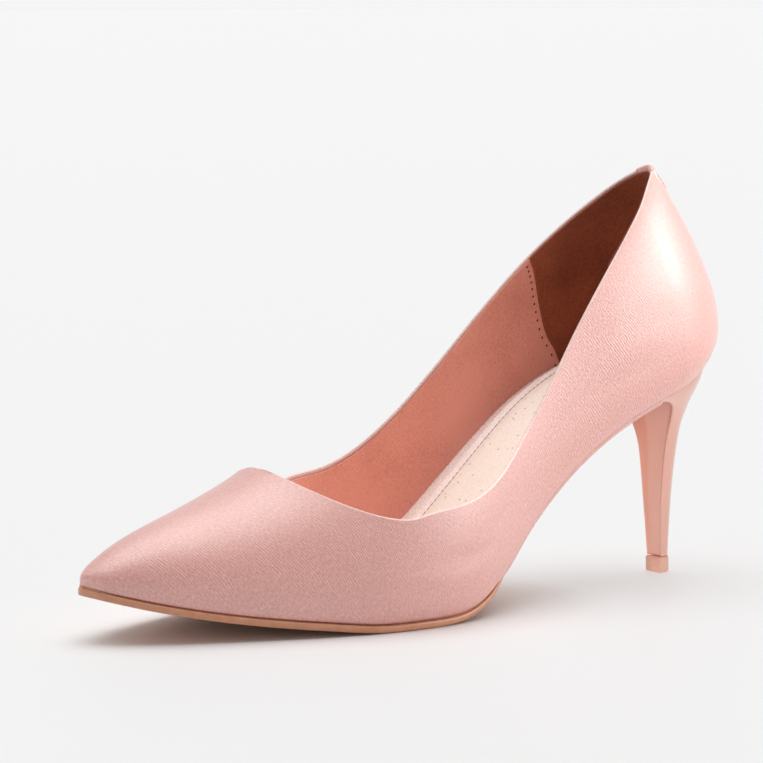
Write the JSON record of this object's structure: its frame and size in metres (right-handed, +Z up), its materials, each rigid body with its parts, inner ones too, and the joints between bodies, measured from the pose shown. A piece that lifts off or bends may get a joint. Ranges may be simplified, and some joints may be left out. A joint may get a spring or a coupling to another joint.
{
  "type": "pump",
  "caption": "Pointed-toe court shoe for a right foot: hollow satin upper, lined, on a slim moulded stiletto heel with a thin edged sole.",
  "frame": {"origin": "middle of the floor face of the heel tip", "axes": "+X runs from the heel to the toe, +Y to the shoe's own left, its inner side, +Z up; the shoe stands on z = 0"},
  "size_m": [0.243, 0.0843, 0.1363],
  "materials": {
    "satin": "satin",
    "sole": "smooth",
    "heel_gloss": "glossy",
    "tip": "matt",
    "insole_cover": "shiny",
    "pad_cover": "matt"
  },
  "bodies": {
    "root": {"upper": "satin", "outsole": "sole", "heel": "heel_gloss", "heel_tip": "tip", "insole": "insole_cover", "sock_pad": "pad_cover", "back_tab": "satin"}
  },
  "joints": []
}
